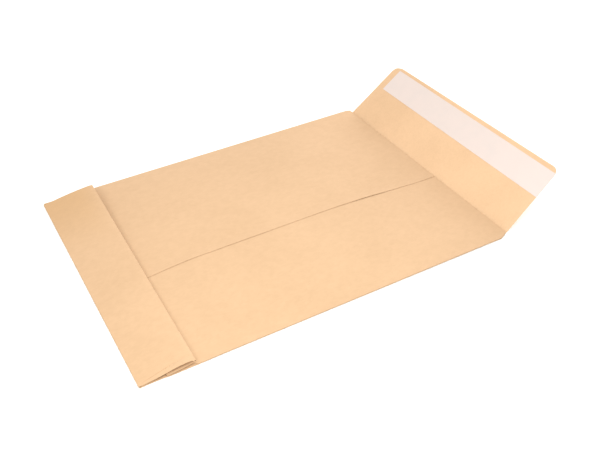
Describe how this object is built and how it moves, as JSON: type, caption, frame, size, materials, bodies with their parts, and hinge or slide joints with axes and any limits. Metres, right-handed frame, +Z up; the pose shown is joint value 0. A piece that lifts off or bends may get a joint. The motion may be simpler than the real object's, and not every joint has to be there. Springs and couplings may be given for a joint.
{
  "type": "paper envelope",
  "caption": "Gusseted kraft pocket envelope with a block bottom, folded flat on its front panel, its peel-and-seal flap standing open.",
  "frame": {"origin": "centre of the front panel's outer face, between the side folds and between the bottom fold and the flap fold", "axes": "+X across the envelope, +Y from the bottom fold towards the flap, +Z up, out of the back panel"},
  "size_m": [0.229, 0.372, 0.0431],
  "materials": {
    "kraft_paper": "matt, fine machine ribbing",
    "flap_adhesive": "tacky film, hidden under the liner",
    "liner_paper": "smooth silicone-coated paper, slight sheen"
  },
  "bodies": {
    "root": {"envelope_sheet": "kraft_paper", "adhesive_strip": "flap_adhesive", "release_liner": "liner_paper"}
  },
  "joints": []
}
